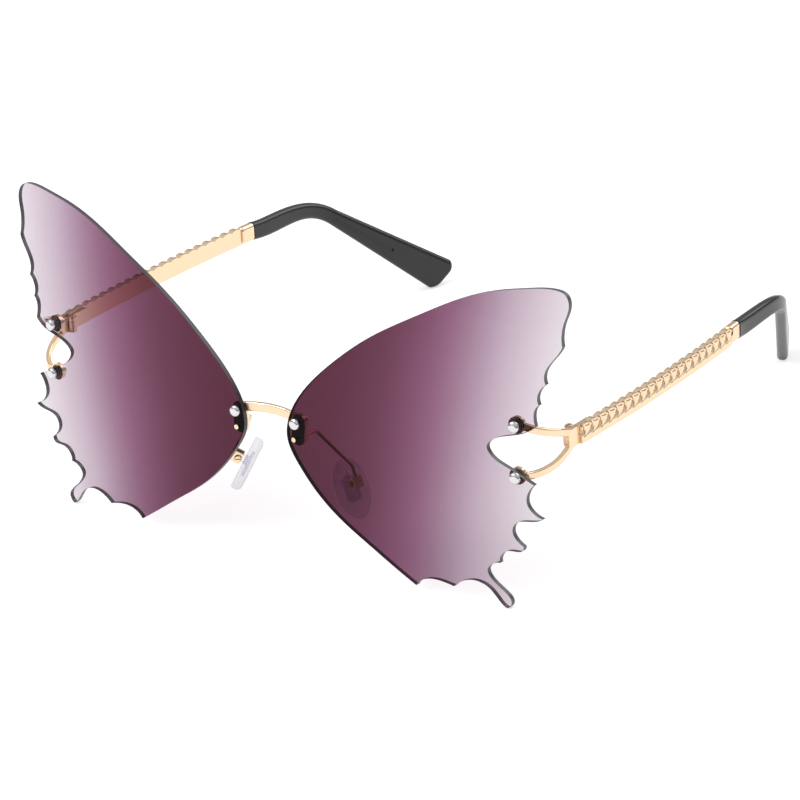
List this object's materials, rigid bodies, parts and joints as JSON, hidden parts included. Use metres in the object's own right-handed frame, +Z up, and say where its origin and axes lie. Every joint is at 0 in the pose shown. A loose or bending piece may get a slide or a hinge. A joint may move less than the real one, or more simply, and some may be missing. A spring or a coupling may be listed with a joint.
{
  "type": "sunglasses",
  "caption": "Rimless butterfly sunglasses with wing shaped gradient lenses, a gilt bridge, forked end pieces, rope pattern folding temples and black tips.",
  "frame": {"origin": "on the ground that the lens tails and temple tips stand on, at the middle of the overall box", "axes": "+Z up, -Y the way the lenses face, +X the wearer's left"},
  "size_m": [0.162, 0.1492, 0.0788],
  "materials": {
    "lens_tint": "polished polycarbonate, plum tint by the nose fading to pale grey outside",
    "gilt": "polished champagne gold plating",
    "screw_steel": "polished steel",
    "clear_plastic": "clear moulded plastic",
    "clear_silicone": "clear soft silicone",
    "tip_black": "gloss black acetate"
  },
  "bodies": {
    "front": {"lens_left": "lens_tint", "lens_right": "lens_tint", "bridge": "gilt", "bridge_screws": "screw_steel", "bridge_nuts": "gilt", "end_piece_screws": "screw_steel", "end_piece_nuts": "gilt", "lens_bushes": "clear_plastic", "nose_pad_arm_left": "gilt", "nose_pad_arm_right": "gilt", "pad_box_left": "gilt", "pad_box_right": "gilt", "pad_screw_left": "screw_steel", "pad_screw_right": "screw_steel", "end_piece_left": "gilt", "end_piece_right": "gilt", "hinge_front_left": "gilt", "hinge_front_right": "gilt", "hinge_screw_left": "screw_steel", "hinge_screw_right": "screw_steel"},
    "temple_left": {"temple_left": "gilt", "temple_tip_left": "tip_black", "hinge_rear_left": "gilt"},
    "temple_right": {"temple_right": "gilt", "temple_tip_right": "tip_black", "hinge_rear_right": "gilt"},
    "nose_pad_left": {"nose_pad_left": "clear_silicone", "pad_insert_left": "clear_plastic"},
    "nose_pad_right": {"nose_pad_right": "clear_silicone", "pad_insert_right": "clear_plastic"}
  },
  "joints": [
    {"name": "temple_left_fold", "type": "hinge", "parent": "front", "child": "temple_left", "pos_m": [0.074, -0.05264, 0.0392], "axis": [0, 0.0785, 0.9969], "range_deg": [0, 86]},
    {"name": "temple_right_fold", "type": "hinge", "parent": "front", "child": "temple_right", "pos_m": [-0.074, -0.05264, 0.0392], "axis": [0, -0.0785, -0.9969], "range_deg": [0, 76]},
    {"name": "nose_pad_left_rock", "type": "hinge", "parent": "front", "child": "nose_pad_left", "pos_m": [0.01729, -0.06299, 0.01905], "axis": [-0.4042, -0.914, 0.0345], "range_deg": [-10, 10]},
    {"name": "nose_pad_right_rock", "type": "hinge", "parent": "front", "child": "nose_pad_right", "pos_m": [-0.01729, -0.06299, 0.01905], "axis": [-0.4042, 0.914, -0.0345], "range_deg": [-10, 10]}
  ]
}
